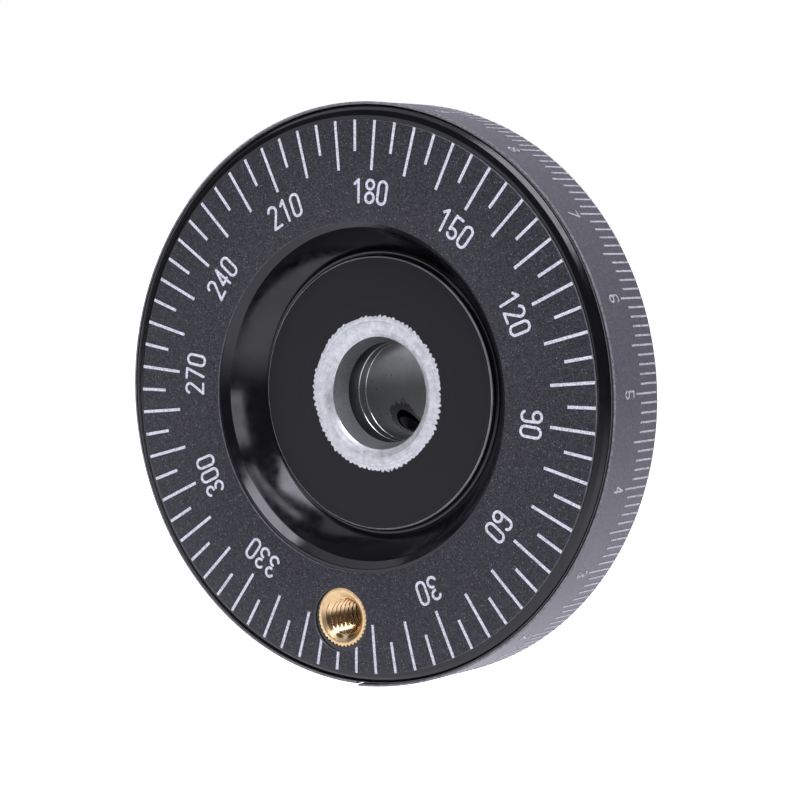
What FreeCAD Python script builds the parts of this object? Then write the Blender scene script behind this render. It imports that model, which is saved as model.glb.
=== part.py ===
"""Graduated handwheel: a moulded wheel with a steel hub bush, a brass handle insert and two scales.

The wheel stands upright. Its axis is the Y axis, its dial faces -Y and its hub points to +Y.
Each piece is built with its depths counted from the plane of the dial, and then moved so that
the origin is on the axis in the hub's rear face. Angles on the dial start at the handle insert,
straight down, and grow anticlockwise for someone who looks at the dial.
"""
import FreeCAD, Part
import math
import os

import Sketcher

SIZES = {
    # wheel
    "band_radius": 40.0,
    "film": 0.30,
    "adhesive": 0.06,
    "rim_depth": 12.0,
    "lip_round": 1.6,
    "rear_edge_round": 0.5,
    "rim_inner_radius": 35.0,
    "web_depth": 6.8,
    # dial plate
    "dial_radius": 37.9,
    "dial_inner_radius": 24.1,
    "dial_drop": 0.4,
    "dial_hole_offset": 30.9,
    "dial_hole_radius": 4.5,
    # dish round the hub
    "dish_radius": 23.95,
    "dish_wall_radius": 22.9,
    "dish_wall_depth": 1.3,
    "dish_bend_radius": 21.44,
    "dish_bend_depth": 4.04,
    "dish_depth": 6.2,
    "margin_round": 0.3,
    "dish_wall_round": 0.6,
    "dish_bend_round": 16.0,
    # hub
    "hub_radius": 18.9,
    "hub_foot_radius": 19.2,
    "hub_face_depth": 4.9,
    "hub_edge_round": 0.35,
    "web_inner_radius": 26.1,
    "boss_root_radius": 22.0,
    "boss_end_radius": 17.0,
    "boss_end_depth": 27.5,
    "boss_fillet": 2.0,
    "boss_edge_round": 0.8,
    # hub bush
    "bush_radius": 10.85,
    "bush_end_depth": 28.0,
    "bore_radius": 7.0,
    "countersink_radius": 8.9,
    "countersink_depth": 0.6,
    "chamfer_radius": 7.84,
    "chamfer_depth": 3.1,
    "rear_chamfer": 0.5,
    "knurl_teeth": 84,
    "knurl_depth": 0.3,
    # handle insert
    "insert_offset": 31.0,
    "insert_radius": 4.3,
    "insert_length": 10.3,
    "insert_recess": 0.36,
    "insert_teeth": 36,
    "insert_knurl_depth": 0.28,
    "thread_minor_radius": 2.5,
    "mouth_radius": 3.5,
    "mouth_depth": 1.0,
    "insert_boss_radius": 6.5,
    # set screw
    "screw_angle": 325.0,
    "screw_depth": 20.0,
    "screw_radius": 2.5,
    "screw_gap": 0.05,
    "screw_tip_radius": 7.2,
    "screw_length": 10.0,
    "screw_socket": 2.5,
    "socket_depth": 3.0,
    "screw_point": 0.7,
    # printed scales
    "ink": 0.03,
    "line_width": 0.42,
    "long_tick_radius": 31.15,
    "short_tick_radius": 33.65,
    "dial_numeral_radius": 28.26,
    "dial_numeral_height": 3.45,
    "rim_line_width": 0.26,
    "unit_tick_length": 4.4,
    "half_tick_length": 5.7,
    "rim_numeral_depth": 4.5,
    "rim_numeral_height": 2.35,
    "rim_zero_angle": 6.7,
    "band_margin": 0.1,
    "band_setback": 0.5,
    "seam_angle": 4.3,
    "seam_gap": 0.15,
}
DIAL_STEP = 5
DIAL_NUMBER_STEP = 30
RIM_DIVISIONS = 200
RIM_TICKS_PER_NUMBER = 10
NUMERAL_ASPECT = 0.50
NUMERAL_PITCH = 0.59
STROKE = 0.11
GROOVE_SHARE = 0.95
GROOVE_OVERSHOOT = 0.05

doc = FreeCAD.newDocument("handwheel")
sheet = doc.addObject("Spreadsheet::Sheet", "Sizes")
for row, (alias, value) in enumerate(SIZES.items(), start=1):
    sheet.set(f"A{row}", alias)
    sheet.set(f"B{row}", str(value))
    sheet.setAlias(f"B{row}", alias)
doc.recompute()


# ---------------------------------------------------------------- helpers

def with_sheet(expression):
    """Write an expression over the sheet's own names as one that other objects can read."""
    words = sorted(SIZES, key=len, reverse=True)
    marked = expression
    for number, word in enumerate(words):
        marked = marked.replace(word, f"#{number}#")
    for number, word in enumerate(words):
        marked = marked.replace(f"#{number}#", f"Sizes.{word}")
    return marked


def size(expression):
    """The value of an expression over the sheet's names, as a plain number."""
    value = sheet.evalExpression(with_sheet(expression))
    return float(getattr(value, "Value", value))


def new_body(label):
    body = doc.addObject("PartDesign::Body", label)
    body.Label = label
    return body


def new_sketch(body, name, role):
    """An empty sketch on one of the body's own origin planes."""
    plane = next(item for item in body.Origin.OriginFeatures if item.Role == role)
    sketch = body.newObject("Sketcher::SketchObject", name)
    sketch.AttachmentSupport = (plane, "")
    sketch.MapMode = "FlatFace"
    return sketch


def outline(body, name, corners):
    """A closed outline on the XY plane, where x is the radius and y the depth behind the dial.

    Each corner is a pair of expressions over the sheet, and both stay bound to it.
    """
    sketch = new_sketch(body, name, "XY_Plane")
    points = [FreeCAD.Vector(size(radius), size(depth), 0) for radius, depth in corners]
    count = len(points)
    for index, point in enumerate(points):
        sketch.addGeometry(Part.LineSegment(point, points[(index + 1) % count]), False)
    for index in range(count):
        sketch.addConstraint(Sketcher.Constraint("Coincident", index, 2, (index + 1) % count, 1))
    for index, (point, corner) in enumerate(zip(points, corners)):
        bind_distance(sketch, "DistanceX", index, point.x, corner[0])
        bind_distance(sketch, "DistanceY", index, point.y, corner[1])
    return sketch


def bind_distance(sketch, kind, line, value, expression):
    """Hold the start of a line at a distance from the origin that the sheet gives."""
    if abs(value) < 1e-9:
        axis = -2 if kind == "DistanceX" else -1
        sketch.addConstraint(Sketcher.Constraint("PointOnObject", line, 1, axis))
        return
    number = sketch.addConstraint(Sketcher.Constraint(kind, -1, 1, line, 1, value))
    sketch.setExpression(f"Constraints[{number}]", with_sheet(expression))


def turned(body, name, corners):
    """A full revolution of an outline about the wheel's axis."""
    sketch = outline(body, name + "_outline", corners)
    feature = body.newObject("PartDesign::Revolution", name)
    feature.Profile = sketch
    feature.ReferenceAxis = (sketch, ["V_Axis"])
    feature.Angle = 360.0
    doc.recompute()
    return feature


def check_removed(name, before, after):
    if after >= before:
        raise RuntimeError(f"{name} cuts nothing")


def circle_sketch(body, name, depth, offset, radius):
    """A circle across the wheel's axis, at a depth and at a distance below the axis."""
    sketch = new_sketch(body, name, "XZ_Plane")
    sketch.setExpression(".AttachmentOffset.Base.z", with_sheet(f"-({depth})"))
    sketch.addGeometry(Part.Circle(FreeCAD.Vector(0, -size(offset), 0), FreeCAD.Vector(0, 0, 1),
                                   size(radius)), False)
    number = sketch.addConstraint(Sketcher.Constraint("Radius", 0, size(radius)))
    sketch.setExpression(f"Constraints[{number}]", with_sheet(radius))
    if size(offset) == 0:
        sketch.addConstraint(Sketcher.Constraint("Coincident", 0, 3, -1, 1))
        return sketch
    sketch.addConstraint(Sketcher.Constraint("PointOnObject", 0, 3, -2))
    number = sketch.addConstraint(Sketcher.Constraint("DistanceY", 0, 3, -1, 1, size(offset)))
    sketch.setExpression(f"Constraints[{number}]", with_sheet(offset))
    return sketch


def rod(body, name, depth, offset, radius, length):
    """A round pad that runs from a depth towards the rear."""
    sketch = circle_sketch(body, name + "_circle", depth, offset, radius)
    feature = body.newObject("PartDesign::Pad", name)
    feature.Profile = sketch
    feature.Reversed = True
    feature.setExpression("Length", with_sheet(length))
    doc.recompute()
    return feature


def hole(body, name, depth, offset, radius, length):
    """A round pocket that runs from a depth towards the rear."""
    before = body.Shape.Volume
    sketch = circle_sketch(body, name + "_circle", depth, offset, radius)
    feature = body.newObject("PartDesign::Pocket", name)
    feature.Profile = sketch
    feature.Reversed = False
    feature.setExpression("Length", with_sheet(length))
    doc.recompute()
    check_removed(name, before, body.Shape.Volume)
    return feature


def ring_edges(body, radius, depth):
    """The names of the full circles of a radius about the axis, at a depth."""
    names = []
    for number, edge in enumerate(body.Shape.Edges, start=1):
        box = edge.BoundBox
        flat = abs(box.YMin - depth) < 1e-3 and abs(box.YMax - depth) < 1e-3
        if flat and abs(box.XMax - radius) < 1e-3 and abs(box.XMin + radius) < 1e-3:
            names.append(f"Edge{number}")
    if not names:
        raise RuntimeError(f"{body.Label} has no circle of radius {radius} at depth {depth}")
    return names


def round_edges(body, name, radius, rings):
    """A fillet on circles about the axis, each given as radius and depth."""
    edges = []
    for ring_radius, ring_depth in rings:
        edges += ring_edges(body, size(ring_radius), size(ring_depth))
    base = body.Tip
    feature = body.newObject("PartDesign::Fillet", name)
    feature.Base = (base, edges)
    feature.setExpression("Radius", with_sheet(radius))
    doc.recompute()
    return feature


def radial(angle):
    """The unit vector that points outward at an angle on the dial."""
    turn = math.radians(angle)
    return FreeCAD.Vector(math.sin(turn), 0, -math.cos(turn))


def shape_feature(label, shape):
    feature = doc.addObject("Part::Feature", label)
    feature.Label = label
    feature.Shape = shape
    return feature


# ---------------------------------------------------------------- wheel and hub

def screw_hole(label, outer_radius):
    """A cylinder along the set screw's axis, as the tool that cuts its hole."""
    tool = doc.addObject("Part::Cylinder", label)
    tool.setExpression("Radius", with_sheet("screw_radius + screw_gap"))
    tool.setExpression("Height", with_sheet(outer_radius))
    start = FreeCAD.Vector(0, size("screw_depth"), 0)
    turn = FreeCAD.Rotation(FreeCAD.Vector(0, 0, 1), radial(size("screw_angle")))
    tool.Placement = FreeCAD.Placement(start, turn)
    return tool


def drilled(label, body):
    """A body with the set screw's hole cut through its wall."""
    cut = doc.addObject("Part::Cut", label)
    cut.Label = label
    cut.Base = body
    cut.Tool = screw_hole(label + "_drill", "boss_root_radius + 2")
    doc.recompute()
    check_removed(label, body.Shape.Volume, cut.Shape.Volume)
    return cut


def wheel_body():
    body = new_body("wheel_moulding")
    seat = "film + adhesive"
    rim = "band_radius - film - adhesive"
    turned(body, "wheel_blank", [
        ("bush_radius", "hub_face_depth"),
        ("hub_radius", "hub_face_depth"),
        ("hub_foot_radius", "dish_depth"),
        ("dish_bend_radius", "dish_bend_depth"),
        ("dish_wall_radius", "dish_wall_depth"),
        ("dish_radius", seat),
        (rim, seat),
        (rim, "rim_depth"),
        ("rim_inner_radius", "rim_depth"),
        ("rim_inner_radius", "web_depth"),
        ("web_inner_radius", "web_depth"),
        ("boss_root_radius", "rim_depth"),
        ("boss_end_radius", "boss_end_depth"),
        ("bush_radius", "boss_end_depth"),
    ])
    round_edges(body, "lip", "lip_round", [(rim, seat)])
    round_edges(body, "rim_rear_edge", "rear_edge_round", [(rim, "rim_depth")])
    round_edges(body, "rim_root", "boss_fillet", [("rim_inner_radius", "web_depth")])
    round_edges(body, "hub_edge", "hub_edge_round", [("hub_radius", "hub_face_depth")])
    round_edges(body, "dish_margin", "margin_round", [("dish_radius", seat)])
    round_edges(body, "dish_wall", "dish_wall_round", [("dish_wall_radius", "dish_wall_depth")])
    round_edges(body, "dish_bend", "dish_bend_round", [("dish_bend_radius", "dish_bend_depth")])
    round_edges(body, "boss_edge", "boss_edge_round", [("boss_end_radius", "boss_end_depth")])
    rod(body, "insert_boss", "web_depth - 1", "insert_offset", "insert_boss_radius",
        "rim_depth - web_depth + 1")
    hole(body, "insert_seat", "0", "insert_offset", "insert_radius",
         "insert_recess + insert_length")
    return drilled("wheel_body", body)


def knurl(body, name, radius, depth_of_cut, teeth, front, length):
    """Straight teeth round a cylinder about the wheel's axis: one V groove, repeated."""
    before = body.Shape.Volume
    sketch = new_sketch(body, name + "_groove", "XZ_Plane")
    sketch.setExpression(".AttachmentOffset.Base.z", with_sheet(f"-({front})"))
    half_width = size(radius) * math.sin(math.pi / size(teeth)) * GROOVE_SHARE
    crest = size(radius) + GROOVE_OVERSHOOT
    valley = size(radius) - size(depth_of_cut)
    corners = [FreeCAD.Vector(-half_width, crest, 0),
               FreeCAD.Vector(half_width, crest, 0),
               FreeCAD.Vector(0, valley, 0)]
    for index in range(3):
        sketch.addGeometry(Part.LineSegment(corners[index], corners[(index + 1) % 3]), False)
    for index in range(3):
        sketch.addConstraint(Sketcher.Constraint("Coincident", index, 2, (index + 1) % 3, 1))
    pocket = body.newObject("PartDesign::Pocket", name + "_pocket")
    pocket.Profile = sketch
    pocket.setExpression("Length", with_sheet(length))
    doc.recompute()
    check_removed(name, before, body.Shape.Volume)
    pattern = body.newObject("PartDesign::PolarPattern", name)
    pattern.Originals = [pocket]
    pattern.Axis = (body_axis(body), [""])
    pattern.Angle = 360.0
    pattern.setExpression("Occurrences", with_sheet(teeth))
    body.Tip = pattern
    doc.recompute()
    return pattern


def body_axis(body):
    return next(item for item in body.Origin.OriginFeatures if item.Role == "Y_Axis")


def hub_bush():
    body = new_body("bush_turning")
    turned(body, "bush_blank", [
        ("countersink_radius", "hub_face_depth"),
        ("bush_radius", "hub_face_depth"),
        ("bush_radius", "bush_end_depth - rear_chamfer"),
        ("bush_radius - rear_chamfer", "bush_end_depth"),
        ("bore_radius", "bush_end_depth"),
        ("bore_radius", "hub_face_depth + chamfer_depth"),
        ("chamfer_radius", "hub_face_depth + countersink_depth"),
    ])
    knurl(body, "bush_knurl", "bush_radius", "knurl_depth", "knurl_teeth",
          "hub_face_depth", "bush_end_depth - hub_face_depth")
    return drilled("hub_bush", body)


def handle_insert():
    """The insert is built on the wheel's axis and then moved down to its place."""
    body = new_body("handle_insert")
    depth_end = "insert_recess + insert_length"
    turned(body, "insert_blank", [
        ("mouth_radius", "insert_recess"),
        ("insert_radius", "insert_recess"),
        ("insert_radius", depth_end),
        ("thread_minor_radius", depth_end),
        ("thread_minor_radius", "insert_recess + mouth_depth"),
    ])
    knurl(body, "insert_knurl", "insert_radius", "insert_knurl_depth", "insert_teeth",
          "insert_recess", "insert_length")
    body.setExpression(".Placement.Base.z", with_sheet("-insert_offset"))
    return body


def set_screw():
    """A cup point screw with a hexagon socket, along its own Z axis before it is placed."""
    radius = size("screw_radius")
    length = size("screw_length")
    point = size("screw_point")
    shank = Part.makeCylinder(radius, length - point, FreeCAD.Vector(0, 0, point))
    tip = Part.makeCone(radius - point, radius, point)
    cup = Part.makeCone(radius - 1.3 * point, 0, point)
    across = size("screw_socket") / math.sqrt(3)
    floor = length - size("socket_depth")
    corners = [FreeCAD.Vector(across * math.cos(math.radians(60 * side)),
                              across * math.sin(math.radians(60 * side)), floor)
               for side in range(7)]
    socket = Part.Face(Part.makePolygon(corners)).extrude(FreeCAD.Vector(0, 0, length))
    screw = shape_feature("set_screw", shank.fuse(tip).removeSplitter().cut(cup).cut(socket))
    direction = radial(size("screw_angle"))
    place = direction * size("screw_tip_radius") + FreeCAD.Vector(0, size("screw_depth"), 0)
    screw.Placement = FreeCAD.Placement(
        place, FreeCAD.Rotation(FreeCAD.Vector(0, 0, 1), direction))
    return screw


# ---------------------------------------------------------------- films

def dial_film(label, front, thickness):
    """A flat ring with a hole round the handle insert."""
    body = new_body(label)
    turned(body, label + "_ring", [
        ("dial_inner_radius", front),
        ("dial_radius", front),
        ("dial_radius", f"{front} + {thickness}"),
        ("dial_inner_radius", f"{front} + {thickness}"),
    ])
    hole(body, label + "_window", "0", "dial_hole_offset", "dial_hole_radius", "film + adhesive")
    return dropped(body)


def dropped(piece):
    """The dial is stuck on a little low, so all that belongs to it moves down together."""
    piece.setExpression(".Placement.Base.z", with_sheet("-dial_drop"))
    return piece


def rim_film(label, inner, thickness):
    """A strip bent round the rim, whose two ends leave a narrow seam."""
    outer_radius = size(inner) + size(thickness)
    depth = size("rim_depth - band_margin - band_setback - film - adhesive")
    front = FreeCAD.Vector(0, size("film + adhesive + band_setback"), 0)
    backward = FreeCAD.Vector(0, 1, 0)
    tube = Part.makeCylinder(outer_radius, depth, front, backward)
    tube = tube.cut(Part.makeCylinder(size(inner), depth, front, backward))
    gap = size("seam_gap")
    seam = Part.makeBox(gap, depth, outer_radius + 1, FreeCAD.Vector(-gap / 2, front.y, 0))
    seam.rotate(FreeCAD.Vector(0, 0, 0), backward, 180 - size("seam_angle"))
    return shape_feature(label, tube.cut(seam))


# ---------------------------------------------------------------- printed scales

def arc(middle_x, middle_z, radius, start, end):
    """An arc in the plane of a numeral, from one angle to another, in degrees."""
    angles = [math.radians(start + (end - start) * part) for part in (0, 0.5, 1)]
    points = [FreeCAD.Vector(middle_x + radius * math.cos(turn), middle_z + radius * math.sin(turn), 0)
              for turn in angles]
    return Part.Arc(*points).toShape()


def line(*places):
    """Straight strokes through a row of places in the plane of a numeral."""
    points = [FreeCAD.Vector(x, z, 0) for x, z in places]
    return Part.makePolygon(points).Edges


def numeral_strokes(digit):
    """The centre lines of a digit of height 1 about its middle, as lists of joined edges."""
    half = (NUMERAL_ASPECT - STROKE) / 2
    top = (1 - STROKE) / 2
    small = half * 0.92
    high = top - small
    low = half - top
    return {
        0: [[arc(0, top - half, half, 0, 180), *line((-half, top - half), (-half, low)),
             arc(0, low, half, 180, 360), *line((half, low), (half, top - half))]],
        1: [line((-half * 0.7, top * 0.62), (half * 0.25, top), (half * 0.25, -top))],
        2: [[arc(0, top - half, half, 165, -25),
             *line((half * math.cos(math.radians(25)), top - half * (1 + math.sin(math.radians(25)))),
                   (-half, -top), (half, -top))]],
        3: [[arc(0, high, small, 160, -90)], [arc(0, low, half, 90, -160)],
            line((-small * 0.3, high - small), (0, high - small))],
        4: [line((half * 0.4, -top), (half * 0.4, top), (-half, -top * 0.45)),
            line((-half, -top * 0.45), (half, -top * 0.45))],
        5: [line((half * 0.9, top), (-half * 0.8, top), (-half * 0.9, low + half * 0.55)),
            [arc(0, low, half, 145, -155)]],
        6: [[arc(0, low, half, 0, 180), arc(0, low, half, 180, 360)],
            line((-half, low), (-half, top - half)), [arc(0, top - half, half, 180, 25)]],
        7: [line((-half, top), (half, top), (-half * 0.35, -top))],
        8: [[arc(0, high, small, 0, 180), arc(0, high, small, 180, 360)],
            [arc(0, low, half, 0, 180), arc(0, low, half, 180, 360)]],
        9: [[arc(0, top - half, half, 0, 180), arc(0, top - half, half, 180, 360)],
            line((half, top - half), (half, low)), [arc(0, low, half, 0, -155)]],
    }[digit]


def bar_face(edge):
    """A single straight stroke as a flat rectangle."""
    start, end = (vertex.Point for vertex in edge.Vertexes)
    along = (end - start).normalize() * (STROKE / 2)
    across = FreeCAD.Vector(-along.y, along.x, 0)
    corners = [start - across, end - across, end + across, start + across, start - across]
    return Part.Face(Part.makePolygon(corners))


def stroke_face(edges):
    """A centre line widened to the stroke's width on both sides."""
    if len(edges) == 1 and len(edges[0].Vertexes) == 2 and edges[0].Curve.TypeId == "Part::GeomLine":
        return bar_face(edges[0])
    wire = Part.Wire(edges)
    if not wire.isClosed():
        return Part.Face(wire.makeOffset2D(STROKE / 2))
    outside = Part.Face(wire.makeOffset2D(STROKE / 2))
    return outside.cut(Part.Face(wire.makeOffset2D(-STROKE / 2)))


def numeral_solid(digit, height, thickness):
    """A printed digit that stands on the XY plane, at its real height."""
    solid = None
    for edges in numeral_strokes(digit):
        face = stroke_face(edges)
        face.scale(height)
        stroke = face.extrude(FreeCAD.Vector(0, 0, thickness))
        solid = stroke if solid is None else solid.fuse(stroke)
    return solid.removeSplitter()


def placed_numbers(numbers, height, seat):
    """Every digit of every number. seat gives the placement of a number's digit by its offset."""
    pitch = NUMERAL_PITCH * height
    solids = []
    for number in numbers:
        digits = [int(letter) for letter in str(number)]
        for place, digit in enumerate(digits):
            offset = (place - (len(digits) - 1) / 2) * pitch
            solid = numeral_solid(digit, height, size("ink"))
            solid.Placement = seat(number, offset)
            solids += solid.Solids
    return Part.makeCompound(solids)


def dial_seat(number, offset):
    """On the dial, digits stand with their tops outward and follow the circle clockwise."""
    radius = size("dial_numeral_radius")
    outward = radial(number - math.degrees(offset / radius))
    rightward = FreeCAD.Vector(outward.z, 0, -outward.x)
    return frame_at(outward * radius, rightward, outward)


def rim_seat(number, offset):
    """On the rim, digits stand with their tops to the rear, away from the dial."""
    radius = size("band_radius")
    angle = size("rim_zero_angle") + number * 360 * RIM_TICKS_PER_NUMBER / RIM_DIVISIONS
    outward = radial(angle - math.degrees(offset / radius))
    rearward = FreeCAD.Vector(0, 1, 0)
    place = outward * radius + rearward * size("rim_numeral_depth")
    return frame_at(place, rearward.cross(outward), rearward)


def frame_at(place, rightward, upward):
    """A placement whose X and Y axes point along a numeral's own right and top."""
    forward = rightward.cross(upward)
    return FreeCAD.Placement(place, FreeCAD.Rotation(rightward, upward, forward, "XYZ"))


def dial_graduations():
    """Long and short lines every five degrees, cut back where the insert's window is."""
    width = size("line_width")
    ink = size("ink")
    window = Part.makeCylinder(size("dial_hole_radius"), 1,
                               FreeCAD.Vector(0, -0.5, -size("dial_hole_offset")),
                               FreeCAD.Vector(0, 1, 0))
    lines = []
    for angle in range(0, 360, DIAL_STEP):
        is_long = angle % (2 * DIAL_STEP) == 0
        start = size("long_tick_radius" if is_long else "short_tick_radius")
        tick = Part.makeBox(width, ink, size("dial_radius") - start,
                            FreeCAD.Vector(-width / 2, -ink, start))
        tick.rotate(FreeCAD.Vector(0, 0, 0), FreeCAD.Vector(0, 1, 0), 180 - angle)
        if min(angle, 360 - angle) <= DIAL_STEP:
            tick = tick.cut(window)
        lines += tick.Solids
    return dropped(shape_feature("dial_graduations", Part.makeCompound(lines)))


def rim_graduations():
    """Lines that start at the band's rear edge, with longer ones at each number and half."""
    width = size("rim_line_width")
    rear = size("rim_depth - band_margin")
    lines = []
    for number in range(RIM_DIVISIONS):
        is_long = number % (RIM_TICKS_PER_NUMBER // 2) == 0
        length = size("half_tick_length" if is_long else "unit_tick_length")
        tick = Part.makeBox(width, length, size("ink"),
                            FreeCAD.Vector(-width / 2, rear - length, size("band_radius")))
        angle = size("rim_zero_angle") + number * 360 / RIM_DIVISIONS
        tick.rotate(FreeCAD.Vector(0, 0, 0), FreeCAD.Vector(0, 1, 0), 180 - angle)
        lines.append(tick)
    return shape_feature("rim_graduations", Part.makeCompound(lines))


def dial_numerals():
    numbers = range(DIAL_NUMBER_STEP, 360, DIAL_NUMBER_STEP)
    digits = placed_numbers(numbers, size("dial_numeral_height"), dial_seat)
    return dropped(shape_feature("dial_numerals", digits))


def rim_numerals():
    numbers = range(RIM_DIVISIONS // RIM_TICKS_PER_NUMBER)
    return shape_feature("rim_numerals",
                         placed_numbers(numbers, size("rim_numeral_height"), rim_seat))


# ---------------------------------------------------------------- build and write

def main():
    pieces = [
        wheel_body(),
        hub_bush(),
        handle_insert(),
        set_screw(),
        dial_film("dial_plate", "0", "film"),
        dial_film("dial_adhesive", "film", "adhesive"),
        rim_film("rim_scale_band", "band_radius - film", "film"),
        rim_film("rim_band_adhesive", "band_radius - film - adhesive", "adhesive"),
        dial_graduations(),
        dial_numerals(),
        rim_graduations(),
        rim_numerals(),
    ]
    for piece in pieces:
        place = piece.Placement
        place.Base.y -= size("bush_end_depth")
        piece.Placement = place
    doc.recompute()
    for item in doc.Objects:
        if "Invalid" in item.State or "Error" in item.State:
            raise RuntimeError(f"{item.Label} failed: {item.State}")
    os.makedirs("parts", exist_ok=True)
    for piece in pieces:
        if piece.Shape.isNull() or not piece.Shape.isValid():
            raise RuntimeError(f"{piece.Label} has no valid shape")
        piece.Shape.exportStep(f"parts/{piece.Label}.step")
        box = piece.Shape.optimalBoundingBox()
        print(piece.Label, len(piece.Shape.Solids), round(piece.Shape.Volume, 2),
              "y", round(box.YMin, 3), round(box.YMax, 3), "z", round(box.ZMin, 3), round(box.ZMax, 3))


main()
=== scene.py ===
"""Looks of the graduated handwheel: fine meshes, materials, light and camera round the CAD frame.

Lengths in this file are millimetres until a mesh is made, and then metres. A place on the wheel
is a radius, an angle and a depth: the angle starts at the handle insert, straight down, and
grows anticlockwise for someone who looks at the dial; the depth counts from the dial's face.
"""

import math
import random

import bpy
from mathutils import Matrix, Vector


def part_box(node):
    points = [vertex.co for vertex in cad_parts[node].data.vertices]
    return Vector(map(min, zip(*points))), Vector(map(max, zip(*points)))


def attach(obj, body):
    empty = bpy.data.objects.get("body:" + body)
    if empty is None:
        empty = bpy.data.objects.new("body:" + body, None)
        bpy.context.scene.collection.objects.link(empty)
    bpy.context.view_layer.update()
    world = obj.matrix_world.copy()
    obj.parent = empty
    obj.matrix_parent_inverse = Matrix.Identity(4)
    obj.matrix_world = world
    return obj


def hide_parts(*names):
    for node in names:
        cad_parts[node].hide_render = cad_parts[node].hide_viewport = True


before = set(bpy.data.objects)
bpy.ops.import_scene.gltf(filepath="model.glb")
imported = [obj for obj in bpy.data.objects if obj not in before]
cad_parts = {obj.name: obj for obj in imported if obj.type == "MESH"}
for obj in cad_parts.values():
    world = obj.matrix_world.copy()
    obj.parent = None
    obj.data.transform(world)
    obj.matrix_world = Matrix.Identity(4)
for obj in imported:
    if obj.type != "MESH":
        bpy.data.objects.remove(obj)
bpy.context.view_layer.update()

MM = 0.001
DIAL_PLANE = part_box("dial_plate")[0].y / MM
RIM_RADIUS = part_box("wheel_body")[1].x / MM
BAND_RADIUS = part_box("rim_scale_band")[1].x / MM
DIAL_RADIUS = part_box("dial_plate")[1].x / MM
DIAL_MIDDLE = (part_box("dial_plate")[0].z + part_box("dial_plate")[1].z) / 2 / MM
INSERT_MIDDLE = (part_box("handle_insert")[0].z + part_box("handle_insert")[1].z) / 2 / MM
INSERT_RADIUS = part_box("handle_insert")[1].x / MM
BUSH_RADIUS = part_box("hub_bush")[1].x / MM

FILM = 0.30
SEAT_DEPTH = 0.36
RIM_DEPTH = 12.0
RIM_INNER_RADIUS = 35.0
WEB_DEPTH = 6.8
WEB_INNER_RADIUS = 26.1
HUB_FACE = 4.9
HUB_RADIUS = 18.9
HUB_FOOT_RADIUS = 19.2
DISH_DEPTH = 6.2
BOSS_ROOT_RADIUS = 22.0
BOSS_END_RADIUS = 17.0
BOSS_END = 27.5
INSERT_BOSS_RADIUS = 6.5
INSERT_LENGTH = 10.3
BUSH_END = 28.0
BORE_RADIUS = 7.0
COUNTERSINK_RADIUS = 8.9
CHAMFER_START = 5.5
CHAMFER_RADIUS = 7.84
CHAMFER_END = 8.0
SCREW_ANGLE = 325.0
SCREW_DEPTH = 20.0
SCREW_HOLE_RADIUS = 2.55
DIAL_INNER_RADIUS = 24.1
DIAL_HOLE_RADIUS = 4.5
DIAL_HOLE_OFFSET = 30.9
SEAM_ANGLE = 4.3
SEAM_LIFT = 0.32
SIDE_LIFT = 0.28
LIGHT_TINT = (0.90, 0.89, 1.0)


# ---------------------------------------------------------------- mesh helpers

def place(radius, angle, depth, middle=0.0):
    """A point on the wheel in metres. middle is the height of the turning axis."""
    turn = math.radians(angle)
    return Vector((radius * math.sin(turn), DIAL_PLANE + depth, middle - radius * math.cos(turn))) * MM


def add_object(name, vertices, faces, sharp_angle=30.0):
    """A mesh object from the given faces, smooth except at its sharp edges."""
    mesh = bpy.data.meshes.new(name)
    mesh.from_pydata([tuple(vertex) for vertex in vertices], [], faces)
    mesh.validate()
    piece = bpy.data.objects.new(name, mesh)
    bpy.context.collection.objects.link(piece)
    finish_mesh(piece, sharp_angle)
    return piece


def finish_mesh(piece, sharp_angle):
    mesh = piece.data
    for polygon in mesh.polygons:
        polygon.use_smooth = True
    mesh.set_sharp_from_angle(angle=math.radians(sharp_angle))
    mesh.update()


def rounded(corners, steps=10):
    """An outline of (radius, depth, fillet) corners as points, with each fillet as an arc."""
    points = []
    count = len(corners)
    for index, (radius, depth, fillet) in enumerate(corners):
        corner = Vector((radius, depth))
        if fillet == 0:
            points.append(corner)
            continue
        before = Vector(corners[index - 1][:2]) - corner
        after = Vector(corners[(index + 1) % count][:2]) - corner
        half = before.angle(after) / 2
        reach = fillet / math.tan(half)
        start = corner + before.normalized() * reach
        end = corner + after.normalized() * reach
        inward = (before.normalized() + after.normalized()).normalized()
        centre = corner + inward * fillet / math.sin(half)
        for step in range(steps + 1):
            blend = start.lerp(end, step / steps) - centre
            points.append(centre + blend.normalized() * fillet)
    return points


def lathe(name, stations, segments, radius_at=None, middle=0.0, sharp_angle=30.0):
    """A closed outline turned about the wheel's axis, or about another axis at height middle.

    radius_at(index, angle, radius, depth) may change a station's radius round the turn.
    """
    vertices = []
    for index, (radius, depth) in enumerate(stations):
        for segment in range(segments):
            angle = 360 * segment / segments
            here = radius if radius_at is None else radius_at(index, angle, radius, depth)
            vertices.append(place(here, angle, depth, middle))
    faces = []
    count = len(stations)
    for index in range(count):
        following = (index + 1) % count
        for segment in range(segments):
            beside = (segment + 1) % segments
            faces.append((index * segments + segment, following * segments + segment,
                          following * segments + beside, index * segments + beside))
    piece = add_object(name, vertices, faces, sharp_angle)
    face_outward(piece)
    return piece


def face_outward(piece):
    """Turn every face of a closed mesh the right way, by the sign of its volume."""
    mesh = piece.data
    mesh.calc_loop_triangles()
    volume = 0.0
    for triangle in mesh.loop_triangles:
        a, b, c = (mesh.vertices[index].co for index in triangle.vertices)
        volume += a.dot(b.cross(c))
    if volume < 0:
        mesh.flip_normals()


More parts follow.
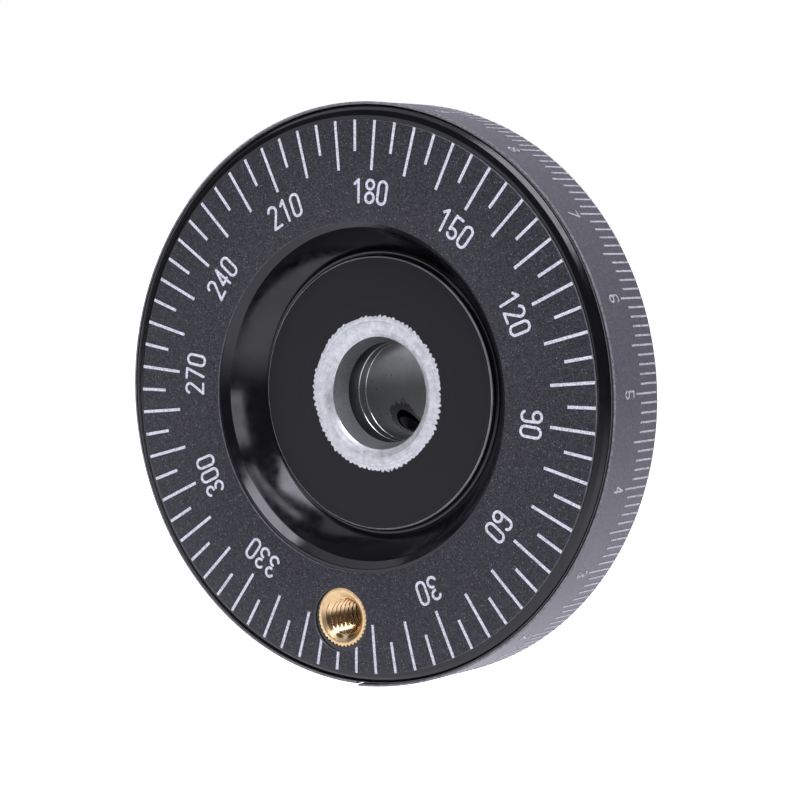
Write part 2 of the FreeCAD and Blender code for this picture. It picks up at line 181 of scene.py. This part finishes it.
def drum(name, radius, start, end, segments=96):
    """A plain cylinder from one point to another, in metres: a cutter or a boss for booleans."""
    along = (end - start).normalized()
    side = along.orthogonal().normalized()
    other = along.cross(side)
    vertices = []
    for point in (start, end):
        for segment in range(segments):
            turn = 2 * math.pi * segment / segments
            vertices.append(point + (side * math.cos(turn) + other * math.sin(turn)) * radius)
    faces = [tuple(range(segments))[::-1], tuple(range(segments, 2 * segments))]
    for segment in range(segments):
        beside = (segment + 1) % segments
        faces.append((segment, beside, segments + beside, segments + segment))
    return add_object(name, vertices, faces)


def combine(piece, tool, operation, sharp_angle=30.0):
    """Apply a boolean of a tool to a piece, and remove the tool."""
    modifier = piece.modifiers.new("boolean", "BOOLEAN")
    modifier.operation = operation
    modifier.solver = "EXACT"
    modifier.object = tool
    graph = bpy.context.evaluated_depsgraph_get()
    result = bpy.data.meshes.new_from_object(piece.evaluated_get(graph))
    piece.modifiers.clear()
    piece.data = result
    bpy.data.objects.remove(tool)
    finish_mesh(piece, sharp_angle)


def screw_hole_cutter():
    inner = place(BORE_RADIUS - 2, SCREW_ANGLE, SCREW_DEPTH)
    outer = place(HUB_RADIUS + 6, SCREW_ANGLE, SCREW_DEPTH)
    return drum("screw_hole_cutter", SCREW_HOLE_RADIUS * MM, inner, outer)


def give(piece, *materials):
    """The piece's materials, in the order of its slots."""
    piece.data.materials.clear()
    for material in materials:
        piece.data.materials.append(material)


def paint(piece, slot, chosen):
    """Give a slot to every face that chosen(radius, depth, normal) picks, by the face's centre."""
    for polygon in piece.data.polygons:
        middle = polygon.center / MM
        radius = math.hypot(middle.x, middle.z)
        if chosen(radius, middle.y - DIAL_PLANE, polygon.normal):
            polygon.material_index = slot


# ---------------------------------------------------------------- material helpers

class Nodes:
    """A short way to write a material's nodes."""

    def __init__(self, name):
        self.material = bpy.data.materials.new(name)
        self.material.use_nodes = True
        self.tree = self.material.node_tree
        self.shader = self.tree.nodes["Principled BSDF"]
        self.position = self.add("ShaderNodeTexCoord").outputs["Object"]

    def add(self, kind, **settings):
        node = self.tree.nodes.new(kind)
        for key, value in settings.items():
            setattr(node, key, value)
        return node

    def link(self, source, target):
        self.tree.links.new(source, target)

    def noise(self, size_mm, detail=2.0, roughness=0.5):
        """Noise whose features are about size_mm across."""
        node = self.add("ShaderNodeTexNoise")
        node.inputs["Scale"].default_value = 1 / (size_mm * MM)
        node.inputs["Detail"].default_value = detail
        node.inputs["Roughness"].default_value = roughness
        self.link(self.position, node.inputs["Vector"])
        return node.outputs["Fac"]

    def cells(self, size_mm):
        node = self.add("ShaderNodeTexVoronoi")
        node.inputs["Scale"].default_value = 1 / (size_mm * MM)
        self.link(self.position, node.inputs["Vector"])
        return node

    def rings(self, size_mm, detail=2.0):
        """Noise that changes only with the distance from the wheel's axis, as a turned face has."""
        split = self.add("ShaderNodeSeparateXYZ")
        self.link(self.position, split.inputs[0])
        across = self.add("ShaderNodeCombineXYZ")
        self.link(split.outputs["X"], across.inputs["X"])
        self.link(split.outputs["Z"], across.inputs["Z"])
        length = self.add("ShaderNodeVectorMath", operation="LENGTH")
        self.link(across.outputs[0], length.inputs[0])
        node = self.add("ShaderNodeTexNoise", noise_dimensions="1D")
        node.inputs["Scale"].default_value = 1 / (size_mm * MM)
        node.inputs["Detail"].default_value = detail
        self.link(length.outputs["Value"], node.inputs["W"])
        return node.outputs["Fac"]

    def ramp(self, source, low, high, start=0.0, end=1.0):
        """Colours from low to high while the source goes from start to end."""
        node = self.add("ShaderNodeValToRGB")
        node.color_ramp.elements[0].position = start
        node.color_ramp.elements[1].position = end
        node.color_ramp.elements[0].color = (*low, 1)
        node.color_ramp.elements[1].color = (*high, 1)
        self.link(source, node.inputs[0])
        return node.outputs[0]

    def span(self, source, low, high, start=0.0, end=1.0):
        """Numbers from low to high while the source goes from start to end."""
        node = self.add("ShaderNodeMapRange")
        node.inputs["From Min"].default_value = start
        node.inputs["From Max"].default_value = end
        node.inputs["To Min"].default_value = low
        node.inputs["To Max"].default_value = high
        self.link(source, node.inputs["Value"])
        return node.outputs[0]

    def mix(self, factor, low, high):
        """A colour between two colours or sockets."""
        node = self.add("ShaderNodeMix", data_type="RGBA")
        self.link(factor, node.inputs["Factor"])
        for socket, value in ((node.inputs[6], low), (node.inputs[7], high)):
            if isinstance(value, tuple):
                socket.default_value = (*value, 1)
            else:
                self.link(value, socket)
        return node.outputs[2]

    def bump(self, height, distance_mm, below=None):
        node = self.add("ShaderNodeBump")
        node.inputs["Strength"].default_value = 1.0
        node.inputs["Distance"].default_value = distance_mm * MM
        self.link(height, node.inputs["Height"])
        if below is not None:
            self.link(below, node.inputs["Normal"])
        return node.outputs[0]

    def set(self, **values):
        """Constant values or sockets for the shader's own inputs."""
        for key, value in values.items():
            socket = self.shader.inputs[key.replace("_", " ")]
            if isinstance(value, bpy.types.NodeSocket):
                self.link(value, socket)
            elif isinstance(value, tuple):
                socket.default_value = (*value, 1)
            else:
                socket.default_value = value


# ---------------------------------------------------------------- materials

def moulded_plastic():
    """Glossy black moulding: slightly uneven, with faint haze."""
    nodes = Nodes("moulded_plastic")
    waves = nodes.bump(nodes.noise(6.0, 1.0), 0.03)
    clouds = nodes.noise(3.0, 3.0)
    nodes.set(Base_Color=nodes.ramp(clouds, (0.004, 0.004, 0.005), (0.008, 0.008, 0.010)),
              Roughness=nodes.span(nodes.noise(1.2, 4.0), 0.10, 0.22, 0.3, 0.7),
              Normal=nodes.bump(nodes.noise(0.12, 2.0), 0.0015, below=waves),
              IOR=1.52)
    return nodes.material


def turned_plastic():
    """The hub's faces, cut on a lathe together with the bush: satin, with fine rings."""
    nodes = Nodes("turned_plastic")
    grain = nodes.bump(nodes.noise(0.10, 3.0), 0.004)
    bands = nodes.rings(0.8)
    nodes.set(Base_Color=nodes.ramp(bands, (0.0065, 0.0055, 0.0070), (0.0100, 0.0088, 0.0105)),
              Roughness=nodes.span(nodes.rings(0.35), 0.38, 0.48),
              Normal=nodes.bump(nodes.rings(0.12), 0.004, below=grain),
              Specular_IOR_Level=0.26)
    return nodes.material


def painted_edge_highlight():
    """The corner of the hub's face: smooth, and painted pale all round as a painted highlight of the
    lamps' glint on the edge.
    """
    nodes = Nodes("painted_edge_highlight")
    nodes.set(Base_Color=nodes.ramp(nodes.noise(2.5, 3.0), (0.15, 0.15, 0.16), (0.55, 0.55, 0.58)),
              Roughness=nodes.span(nodes.noise(0.6, 2.0), 0.20, 0.35))
    return nodes.material


def sanded_film(name, dark, light, speck, roughness):
    """The scales' film: charcoal with a fine sandy grain and tiny glints of two colours."""
    nodes = Nodes(name)
    grain = nodes.add("ShaderNodeSeparateColor")
    nodes.link(nodes.cells(0.15).outputs["Color"], grain.inputs[0])
    clouds = nodes.noise(0.5, 3.0, 0.6)
    mottle = nodes.ramp(grain.outputs[0], dark, light, 0.15, 0.95)
    cloudy = nodes.mix(nodes.span(clouds, 0.0, 0.35, 0.4, 0.7), mottle, dark)
    flecks = nodes.cells(0.28)
    chosen = nodes.add("ShaderNodeSeparateColor")
    nodes.link(flecks.outputs["Color"], chosen.inputs[0])
    near = nodes.span(flecks.outputs["Distance"], 1.0, 0.0, 0.18, 0.30)
    picked = nodes.span(chosen.outputs[0], 0.0, 1.0, 0.60, 0.95)
    both = nodes.add("ShaderNodeMath", operation="MULTIPLY")
    nodes.link(near, both.inputs[0])
    nodes.link(picked, both.inputs[1])
    warm = (speck[0] * 1.3, speck[1] * 1.15, speck[2] * 0.8)
    tint = nodes.ramp(chosen.outputs[1], speck, warm, 0.6, 0.7)
    nodes.set(Base_Color=nodes.mix(both.outputs[0], cloudy, tint),
              Roughness=nodes.span(nodes.noise(0.2, 2.0), roughness - 0.08, roughness + 0.10),
              Normal=nodes.bump(nodes.noise(0.16, 2.0, 0.7), 0.03),
              Specular_IOR_Level=0.5)
    return nodes.material


def film_edge():
    """The cut edge of the film, paler here and there: partly the film's pale inner layer showing, partly
    a painted glint.
    """
    nodes = Nodes("film_edge")
    # Pale patches along the edge: the film's inner layer, and a painted glint.
    core_and_glint = nodes.noise(0.35, 4.0, 0.7)
    nodes.set(Base_Color=nodes.ramp(core_and_glint, (0.09, 0.09, 0.10), (0.32, 0.32, 0.35), 0.35, 0.70),
              Roughness=nodes.span(nodes.noise(0.3, 2.0), 0.25, 0.5))
    return nodes.material


def white_print(name, thin, full):
    """Screen printed ink, thin enough for the film's grain to show through."""
    nodes = Nodes(name)
    grain = nodes.add("ShaderNodeSeparateColor")
    nodes.link(nodes.cells(0.14).outputs["Color"], grain.inputs[0])
    nodes.set(Base_Color=nodes.ramp(grain.outputs[0], thin, full, 0.0, 0.7),
              Roughness=nodes.span(nodes.noise(0.2, 2.0), 0.45, 0.65),
              Normal=nodes.bump(nodes.noise(0.16, 2.0, 0.7), 0.02))
    return nodes.material


def plated_steel():
    """Zinc plated steel with a turned face: pale, cloudy, scored and a little pitted."""
    nodes = Nodes("plated_steel")
    clouds = nodes.noise(1.1, 5.0, 0.65)
    pits = nodes.span(nodes.noise(0.42, 3.0, 0.6), 0.0, 1.0, 0.66, 0.72)
    tone = nodes.mix(pits, nodes.ramp(clouds, (0.58, 0.61, 0.62), (0.84, 0.86, 0.86), 0.36, 0.64),
                     (0.12, 0.12, 0.14))
    turned = nodes.bump(nodes.rings(0.30, 4.0), 0.07)
    nodes.set(Base_Color=tone,
              Metallic=0.55,
              Roughness=nodes.span(clouds, 0.32, 0.50, 0.3, 0.7),
              Normal=nodes.bump(nodes.noise(0.6, 5.0, 0.7), 0.09, below=turned))
    return nodes.material


def chamfer_steel():
    """The reamed chamfer, brighter and smoother than the face."""
    nodes = Nodes("chamfer_steel")
    nodes.set(Base_Color=nodes.ramp(nodes.noise(2.0, 3.0), (0.58, 0.60, 0.60), (0.86, 0.88, 0.88)),
              Metallic=0.75,
              Roughness=nodes.span(nodes.noise(0.6, 3.0), 0.12, 0.26),
              Normal=nodes.bump(nodes.noise(0.9, 3.0), 0.04))
    return nodes.material


def bore_steel():
    """The bore's wall: dull and oily, with black specks, and a black patch round the screw's hole."""
    nodes = Nodes("bore_steel")
    specks = nodes.span(nodes.noise(0.75, 1.0), 0.0, 1.0, 0.70, 0.73)
    wall = nodes.ramp(nodes.noise(2.5, 4.0), (0.020, 0.024, 0.018), (0.048, 0.052, 0.044))
    hole = place(BORE_RADIUS, SCREW_ANGLE, SCREW_DEPTH)
    away = nodes.add("ShaderNodeVectorMath", operation="DISTANCE")
    nodes.link(nodes.position, away.inputs[0])
    away.inputs[1].default_value = hole
    ragged = nodes.add("ShaderNodeMath", operation="MULTIPLY_ADD")
    nodes.link(nodes.noise(1.4, 4.0, 0.6), ragged.inputs[0])
    ragged.inputs[1].default_value = 4.5 * MM
    nodes.link(away.outputs["Value"], ragged.inputs[2])
    patch = nodes.span(ragged.outputs[0], 1.0, 0.0, 5.8 * MM, 6.0 * MM)
    dark = (0.003, 0.003, 0.003)
    nodes.set(Base_Color=nodes.mix(patch, nodes.mix(specks, wall, dark), dark),
              Metallic=nodes.span(patch, 0.6, 1.0),
              Roughness=nodes.span(nodes.noise(0.8, 3.0), 0.26, 0.42),
              Normal=nodes.bump(nodes.noise(0.7, 3.0), 0.012))
    return nodes.material


def brass(name, rough_low, rough_high):
    """Pale turned brass, nearly clean."""
    nodes = Nodes(name)
    tarnish = nodes.noise(1.2, 4.0)
    nodes.set(Base_Color=nodes.ramp(tarnish, (0.72, 0.49, 0.24), (0.88, 0.66, 0.38), 0.3, 0.7),
              Metallic=1.0,
              Roughness=nodes.span(nodes.noise(0.7, 3.0), rough_low, rough_high, 0.3, 0.7),
              Normal=nodes.bump(nodes.noise(0.5, 2.0), 0.003))
    return nodes.material


def black_oxide_and_hole_shade():
    # The set screw's own black oxide. The same material on the walls of the screw's hole in the bush is
    # painted shade, so the hole reads black.
    nodes = Nodes("black_oxide_and_hole_shade")
    nodes.set(Base_Color=nodes.ramp(nodes.noise(0.8, 4.0), (0.003, 0.003, 0.003), (0.010, 0.009, 0.009)),
              Specular_IOR_Level=0.06,
              Roughness=nodes.span(nodes.noise(0.4, 3.0), 0.40, 0.60),
              Normal=nodes.bump(nodes.noise(0.2, 3.0), 0.006))
    return nodes.material


def adhesive_film():
    nodes = Nodes("adhesive_film")
    nodes.set(Base_Color=nodes.ramp(nodes.noise(0.6, 3.0), (0.10, 0.10, 0.10), (0.22, 0.22, 0.21)),
              Roughness=nodes.span(nodes.noise(0.4, 2.0), 0.2, 0.4),
              Normal=nodes.bump(nodes.noise(0.3, 2.0), 0.01))
    return nodes.material


def floor_paint():
    nodes = Nodes("floor_paint")
    nodes.set(Base_Color=nodes.ramp(nodes.noise(200.0, 2.0), (0.90, 0.90, 0.90), (0.93, 0.93, 0.93)),
              Roughness=0.9,
              Emission_Color=(1.0, 1.0, 1.0),
              Emission_Strength=1.0)
    return nodes.material


GLOSS = moulded_plastic()
SATIN = turned_plastic()
EDGE_HIGHLIGHT_PAINT = painted_edge_highlight()
DIAL_FILM = sanded_film("dial_film", dark=(0.003, 0.003, 0.005), light=(0.047, 0.047, 0.063),
                        speck=(0.20, 0.21, 0.27), roughness=0.52)
BAND_FILM = sanded_film("band_film", dark=(0.026, 0.024, 0.031), light=(0.070, 0.066, 0.084),
                        speck=(0.14, 0.14, 0.17), roughness=0.46)
FILM_EDGE = film_edge()
PRINT = white_print("dial_print", thin=(0.44, 0.46, 0.50), full=(0.86, 0.88, 0.94))
RIM_PRINT = white_print("rim_print", thin=(0.14, 0.14, 0.16), full=(0.52, 0.53, 0.58))
STEEL = plated_steel()
CHAMFER = chamfer_steel()
BORE = bore_steel()
TURNED_BRASS = brass("turned_brass", rough_low=0.32, rough_high=0.44)
THREAD_BRASS = brass("thread_brass", rough_low=0.12, rough_high=0.20)
OXIDE_AND_HOLE_SHADE = black_oxide_and_hole_shade()
ADHESIVE = adhesive_film()


# ---------------------------------------------------------------- wheel

def wheel_body():
    """The moulding: turned outline, boss behind the insert, and the two holes.

    The outline goes from the hub's face down the dish, over the lip and round the back.
    """
    plastic_bore = BUSH_RADIUS - 0.5
    outline = rounded([
        (plastic_bore, HUB_FACE, 0),
        (HUB_RADIUS, HUB_FACE, 0.35),
        (HUB_FOOT_RADIUS, DISH_DEPTH, 0.4),
        (21.44, 4.04, 16.0),
        (22.9, 1.3, 0.6),
        (23.95, SEAT_DEPTH, 0.3),
        (38.1, SEAT_DEPTH, 0.5),
        (38.85, SEAT_DEPTH + 0.24, 0.4),
        (39.45, SEAT_DEPTH + 0.71, 0.3),
        (RIM_RADIUS, SEAT_DEPTH + 1.6, 0.8),
        (RIM_RADIUS, RIM_DEPTH, 0.5),
        (RIM_INNER_RADIUS, RIM_DEPTH, 0.4),
        (RIM_INNER_RADIUS, WEB_DEPTH, 2.0),
        (WEB_INNER_RADIUS, WEB_DEPTH, 1.5),
        (BOSS_ROOT_RADIUS, RIM_DEPTH, 2.0),
        (BOSS_END_RADIUS, BOSS_END, 0.8),
        (plastic_bore, BOSS_END, 0),
    ])
    piece = lathe("wheel_moulding", outline, 360)
    boss = drum("insert_boss", INSERT_BOSS_RADIUS * MM, place(0, 0, WEB_DEPTH - 1, INSERT_MIDDLE),
                place(0, 0, RIM_DEPTH - 0.05, INSERT_MIDDLE))
    combine(piece, boss, "UNION")
    seat = drum("insert_seat", (INSERT_RADIUS - 0.2) * MM, place(0, 0, -1, INSERT_MIDDLE),
                place(0, 0, SEAT_DEPTH + INSERT_LENGTH, INSERT_MIDDLE))
    combine(piece, seat, "DIFFERENCE")
    combine(piece, screw_hole_cutter(), "DIFFERENCE")
    give(piece, GLOSS, SATIN, EDGE_HIGHLIGHT_PAINT)
    paint(piece, 1, lambda radius, depth, normal:
          radius < HUB_RADIUS - 0.2 and (depth < HUB_FACE + 0.01 or depth > BOSS_END - 0.01))
    # Slot 2, the corner of the hub's face, gets the pale edge material: a painted highlight.
    paint(piece, 2, lambda radius, depth, normal:
          HUB_RADIUS - 0.16 < radius < HUB_RADIUS + 0.05 and depth < HUB_FACE + 0.22)
    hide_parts("wheel_body")
    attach(piece, "wheel")


# ---------------------------------------------------------------- hub bush

def hub_bush():
    """The steel bush: knurled outside with a torn edge where its face was turned, smooth inside."""
    chance = random.Random(7)
    teeth = 84
    height = [chance.uniform(0.08, 0.42) for _ in range(teeth)]
    lean = [chance.uniform(0.2, 0.8) for _ in range(teeth)]
    burr = [chance.uniform(-0.12, 0.20) for _ in range(teeth)]
    face = HUB_FACE - 0.04
    line_depths = (10.6, 12.3)
    smear_angle = 225
    smear_width = 50
    stations = [
        (BUSH_RADIUS, BUSH_END - 0.4), (BUSH_RADIUS, face + 1.0), (BUSH_RADIUS, face + 0.12),
        (BUSH_RADIUS - 0.04, face + 0.02), (BUSH_RADIUS - 0.50, face),
        (9.6, face), (COUNTERSINK_RADIUS + 0.06, face), (COUNTERSINK_RADIUS - 0.04, face + 0.03),
        (CHAMFER_RADIUS + 0.04, CHAMFER_START - 0.02), (CHAMFER_RADIUS - 0.02, CHAMFER_START + 0.04),
        (BORE_RADIUS + 0.03, CHAMFER_END - 0.07), (BORE_RADIUS, CHAMFER_END + 0.05),
    ]
    for depth in line_depths:
        stations += [(BORE_RADIUS, depth - 0.12), (BORE_RADIUS + 0.06, depth - 0.03),
                     (BORE_RADIUS + 0.06, depth + 0.02), (BORE_RADIUS, depth + 0.08)]
    stations += [
        (BORE_RADIUS, 16.0), (BORE_RADIUS, 20.0), (BORE_RADIUS, 24.0),
        (BORE_RADIUS, BUSH_END - 0.35), (BORE_RADIUS + 0.35, BUSH_END),
        (9.0, BUSH_END), (BUSH_RADIUS - 0.5, BUSH_END),
    ]
    knurled = 4

    def radius_at(index, angle, radius, depth):
        if index >= knurled:
            return radius
        turn = angle / 360 * teeth
        tooth = int(turn) % teeth
        along = turn - int(turn)
        peak = lean[tooth]
        rise = along / peak if along < peak else (1 - along) / (1 - peak)
        if depth > face + 0.5:
            return radius - 0.25 * (1 - rise)
        smeared = math.exp(-((angle - smear_angle) / smear_width) ** 2)
        ripple = 0.07 * math.sin(math.radians(7 * angle)) + burr[tooth] * rise
        worn = min(1.0, 1.5 * rise)
        return radius - 0.05 - height[tooth] * (1 - worn) * (1 - 0.85 * smeared) + ripple

    piece = lathe("steel_bush", stations, teeth * 12, radius_at, sharp_angle=25.0)
    combine(piece, screw_hole_cutter(), "DIFFERENCE", sharp_angle=25.0)
    give(piece, STEEL, CHAMFER, BORE, OXIDE_AND_HOLE_SHADE)
    paint(piece, 1, lambda radius, depth, normal:
          radius < CHAMFER_RADIUS + 0.02 and CHAMFER_START < depth <= CHAMFER_END)
    paint(piece, 2, lambda radius, depth, normal:
          radius < BORE_RADIUS + 0.25 and CHAMFER_END < depth < BUSH_END - 0.36)
    paint(piece, 1, lambda radius, depth, normal:
          BORE_RADIUS + 0.01 < radius < BORE_RADIUS + 0.25
          and line_depths[0] - 1 < depth < line_depths[1] + 1)
    # Slot 3, the walls of the screw's hole, gets the black oxide as painted shade, so the hole reads
    # black.
    paint(piece, 3, lambda radius, depth, normal:
          BORE_RADIUS + 0.25 < radius < BUSH_RADIUS - 0.5 and abs(depth - SCREW_DEPTH) < 3)
    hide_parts("hub_bush")
    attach(piece, "wheel")


# ---------------------------------------------------------------- handle insert

def handle_insert():
    """The brass insert: knurled outside, countersunk, with a right-hand M6 thread."""
    pitch = 1.0
    minor = 2.46
    groove = 0.54
    front = SEAT_DEPTH
    mouth = 3.5
    end = front + INSERT_LENGTH
    teeth = 40
    rows_per_turn = 16
    chance = random.Random(11)
    tooth_cut = [chance.uniform(0.24, 0.42) for _ in range(teeth)]
    outside = [(INSERT_RADIUS, end), (INSERT_RADIUS, front + 0.30), (INSERT_RADIUS - 0.10, front + 0.06),
               (INSERT_RADIUS - 0.45, front), (mouth + 0.08, front)]
    rows = int((end - front) / pitch * rows_per_turn)
    inside = [(minor, front + 0.02 + (end - front - 0.02) * row / rows) for row in range(rows + 1)]
    knurled = 3

    def thread_radius(angle, depth):
        phase = (depth / pitch + angle / 360) % 1.0
        flank = min(1.0, max(0.0, (abs(phase - 0.5) - 0.06) / 0.36))
        countersink = mouth - (depth - front) * 1.5
        return max(minor + groove * (1 - flank), countersink)

    def radius_at(index, angle, radius, depth):
        if index < knurled:
            turn = angle / 360 * teeth
            tooth = int(turn) % teeth
            rise = 1 - abs(2 * (turn - int(turn)) - 1)
            worn = 0.35 + 0.65 * (1 + math.sin(math.radians(angle + 60))) / 2
            return radius - tooth_cut[tooth] * (1 - rise) * worn
        if index >= len(outside):
            return thread_radius(angle, depth)
        return radius

    piece = lathe("brass_insert", outside + inside, teeth * 6, radius_at,
                  middle=INSERT_MIDDLE, sharp_angle=40.0)
    give(piece, TURNED_BRASS, THREAD_BRASS)
    for polygon in piece.data.polygons:
        middle = polygon.center / MM
        if math.hypot(middle.x, middle.z - INSERT_MIDDLE) < minor + groove:
            polygon.material_index = 1
    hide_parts("handle_insert")
    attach(piece, "wheel")


# ---------------------------------------------------------------- films and print

def dial_plate():
    """The dial's film: a flat ring, cut a little unevenly, with the window for the insert."""
    stations = rounded([
        (DIAL_INNER_RADIUS, 0.0, 0.06),
        (DIAL_RADIUS, 0.0, 0.06),
        (DIAL_RADIUS, FILM, 0),
        (DIAL_INNER_RADIUS, FILM, 0),
    ], steps=3)

    def radius_at(index, angle, radius, depth):
        return radius - 0.02 * (1 + math.sin(math.radians(angle * 5)))

    piece = lathe("dial_film_ring", stations, 360, radius_at, middle=DIAL_MIDDLE)
    hole_middle = DIAL_MIDDLE - DIAL_HOLE_OFFSET
    window = drum("dial_window", DIAL_HOLE_RADIUS * MM, place(0, 0, -1, hole_middle),
                  place(0, 0, 1, hole_middle))
    combine(piece, window, "DIFFERENCE")
    give(piece, DIAL_FILM, FILM_EDGE)
    paint(piece, 1, lambda radius, depth, normal: abs(normal.y) < 0.5)
    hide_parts("dial_plate")
    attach(piece, "wheel")


def band_lift(angle):
    """How far the band stands off the rim: a little on both sides, and more where its end springs up."""
    past = (angle - SEAM_ANGLE) % 360
    return SEAM_LIFT * math.exp(-past / 9.0) + SIDE_LIFT * math.sin(math.radians(angle)) ** 2


def rim_band():
    """The band's film: a strip bent once round the rim, whose upper end springs up at the seam."""
    lo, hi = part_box("rim_scale_band")
    front = lo.y / MM - DIAL_PLANE
    rear = hi.y / MM - DIAL_PLANE
    inner = BAND_RADIUS - FILM
    edge = 0.05
    section = [(inner, front), (BAND_RADIUS - edge, front), (BAND_RADIUS, front + edge),
               (BAND_RADIUS, rear - edge), (BAND_RADIUS - edge, rear), (inner, rear)]
    gap = 0.2
    steps = 720
    vertices = []
    for step in range(steps + 1):
        angle = SEAM_ANGLE + gap + (360 - 2 * gap) * step / steps
        for radius, depth in section:
            vertices.append(place(radius + band_lift(angle), angle, depth))
    count = len(section)
    faces = [tuple(range(count)), tuple(range(steps * count, (steps + 1) * count))[::-1]]
    for step in range(steps):
        for corner in range(count):
            beside = (corner + 1) % count
            faces.append((step * count + corner, (step + 1) * count + corner,
                          (step + 1) * count + beside, step * count + beside))
    piece = add_object("band_film_strip", vertices, faces)
    face_outward(piece)
    give(piece, BAND_FILM, FILM_EDGE)
    paint(piece, 1, lambda radius, depth, normal: abs(normal.y) > 0.5 or radius < inner + 0.01)
    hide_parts("rim_scale_band")
    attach(piece, "wheel")


def lifted_print(name, node):
    """The CAD's printed marks on the band, moved out with it where it stands off the rim."""
    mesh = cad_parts[node].data.copy()
    for vertex in mesh.vertices:
        angle = math.degrees(math.atan2(vertex.co.x, -vertex.co.z)) % 360
        outward = Vector((vertex.co.x, 0, vertex.co.z)).normalized()
        vertex.co += outward * band_lift(angle) * MM
    piece = bpy.data.objects.new(name, mesh)
    bpy.context.collection.objects.link(piece)
    give(piece, RIM_PRINT)
    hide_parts(node)
    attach(piece, "wheel")


def carried_over():
    """CAD nodes whose shape stays, with finished materials."""
    for node, material in (("set_screw", OXIDE_AND_HOLE_SHADE), ("dial_adhesive", ADHESIVE),
                           ("rim_band_adhesive", ADHESIVE), ("dial_graduations", PRINT),
                           ("dial_numerals", PRINT)):
        give(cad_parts[node], material)


# ---------------------------------------------------------------- stage, light and camera

def floor():
    """A plain pale floor, well below the wheel, which is held up by its shaft."""
    reach = 6.0
    height = -0.30
    corners = [(-reach, -reach, height), (reach, -reach, height), (reach, reach, height),
               (-reach, reach, height)]
    piece = add_object("floor", corners, [(0, 1, 2, 3)])
    give(piece, floor_paint())
    piece.visible_glossy = False
    piece.visible_diffuse = False


def soft_box(name, azimuth, elevation, distance, width, height, power):
    """A rectangular lamp that faces the wheel. Azimuth 0 is in front of the dial, 90 to its right."""
    turn = math.radians(azimuth)
    rise = math.radians(elevation)
    where = Vector((math.sin(turn) * math.cos(rise), -math.cos(turn) * math.cos(rise), math.sin(rise)))
    lamp = bpy.data.lights.new(name, "AREA")
    lamp.shape = "RECTANGLE"
    lamp.size = width
    lamp.size_y = height
    lamp.energy = power
    lamp.color = LIGHT_TINT
    holder = bpy.data.objects.new(name, lamp)
    holder.location = where * distance
    holder.rotation_euler = (-where).to_track_quat("-Z", "Y").to_euler()
    bpy.context.collection.objects.link(holder)


def sky(front, behind, below, backdrop):
    """A dim studio, a white sweep behind the wheel and a white table below it.

    The camera sees the plain backdrop alone.
    """
    world = bpy.data.worlds.new("studio")
    bpy.context.scene.world = world
    world.use_nodes = True
    nodes = world.node_tree.nodes
    links = world.node_tree.links
    place_on_sky = nodes.new("ShaderNodeTexCoord")
    split = nodes.new("ShaderNodeSeparateXYZ")
    links.new(place_on_sky.outputs["Generated"], split.inputs[0])
    light = nodes["Background"]
    light.inputs["Color"].default_value = (*LIGHT_TINT, 1)
    total = nodes.new("ShaderNodeMath")
    total.operation = "ADD"
    for number, (side, start, end, low, high) in enumerate((
            ("Y", 0.0, 0.35, front, behind), ("Z", -0.05, -0.35, 0.0, below))):
        blend = nodes.new("ShaderNodeMapRange")
        blend.inputs["From Min"].default_value = start
        blend.inputs["From Max"].default_value = end
        blend.inputs["To Min"].default_value = low
        blend.inputs["To Max"].default_value = high
        links.new(split.outputs[side], blend.inputs["Value"])
        links.new(blend.outputs[0], total.inputs[number])
    links.new(total.outputs[0], light.inputs["Strength"])
    plain = nodes.new("ShaderNodeBackground")
    plain.inputs["Color"].default_value = (1, 1, 1, 1)
    plain.inputs["Strength"].default_value = backdrop
    choose = nodes.new("ShaderNodeMixShader")
    ray = nodes.new("ShaderNodeLightPath")
    links.new(ray.outputs["Is Camera Ray"], choose.inputs[0])
    links.new(light.outputs[0], choose.inputs[1])
    links.new(plain.outputs[0], choose.inputs[2])
    links.new(choose.outputs[0], nodes["World Output"].inputs["Surface"])


def camera():
    """The photographer's view: from the right of the dial, a little above its axis."""
    azimuth = math.radians(34.156)
    elevation = math.radians(6.534)
    roll = math.radians(4.035)
    distance = 342.36
    aim = Vector((7.33, DIAL_PLANE, 0.24))
    back = Vector((math.sin(azimuth) * math.cos(elevation), -math.cos(azimuth) * math.cos(elevation),
                   math.sin(elevation)))
    lens = bpy.data.cameras.new("camera")
    lens.lens = 114.03
    lens.sensor_width = 36.0
    lens.clip_start = 0.02
    lens.clip_end = 20.0
    holder = bpy.data.objects.new("camera", lens)
    level = (-back).to_track_quat("-Z", "Y").to_matrix()
    holder.matrix_world = (Matrix.Translation((aim + back * distance) * MM)
                           @ (level @ Matrix.Rotation(roll, 3, "Z")).to_4x4())
    bpy.context.collection.objects.link(holder)
    bpy.context.scene.camera = holder


wheel_body()
hub_bush()
handle_insert()
dial_plate()
rim_band()
lifted_print("rim_graduation_print", "rim_graduations")
lifted_print("rim_numeral_print", "rim_numerals")
carried_over()
floor()
soft_box("front_top", 16, 52, 0.9, 0.60, 0.42, 5.0)
soft_box("overhead", 95, 68, 0.7, 0.35, 0.53, 1.5)
soft_box("left_top", -80, 55, 0.9, 0.8, 0.8, 1.5)
soft_box("left_front", -38, -4, 0.9, 0.7, 0.6, 1.25)
soft_box("right", 82, 18, 0.9, 0.25, 0.50, 1.1)
soft_box("right_front", 50, -22, 0.9, 0.8, 0.7, 0.25)
sky(0.08, 1.05, 1.2, 1.0)
camera()
bpy.context.scene.view_settings.view_transform = "Standard"
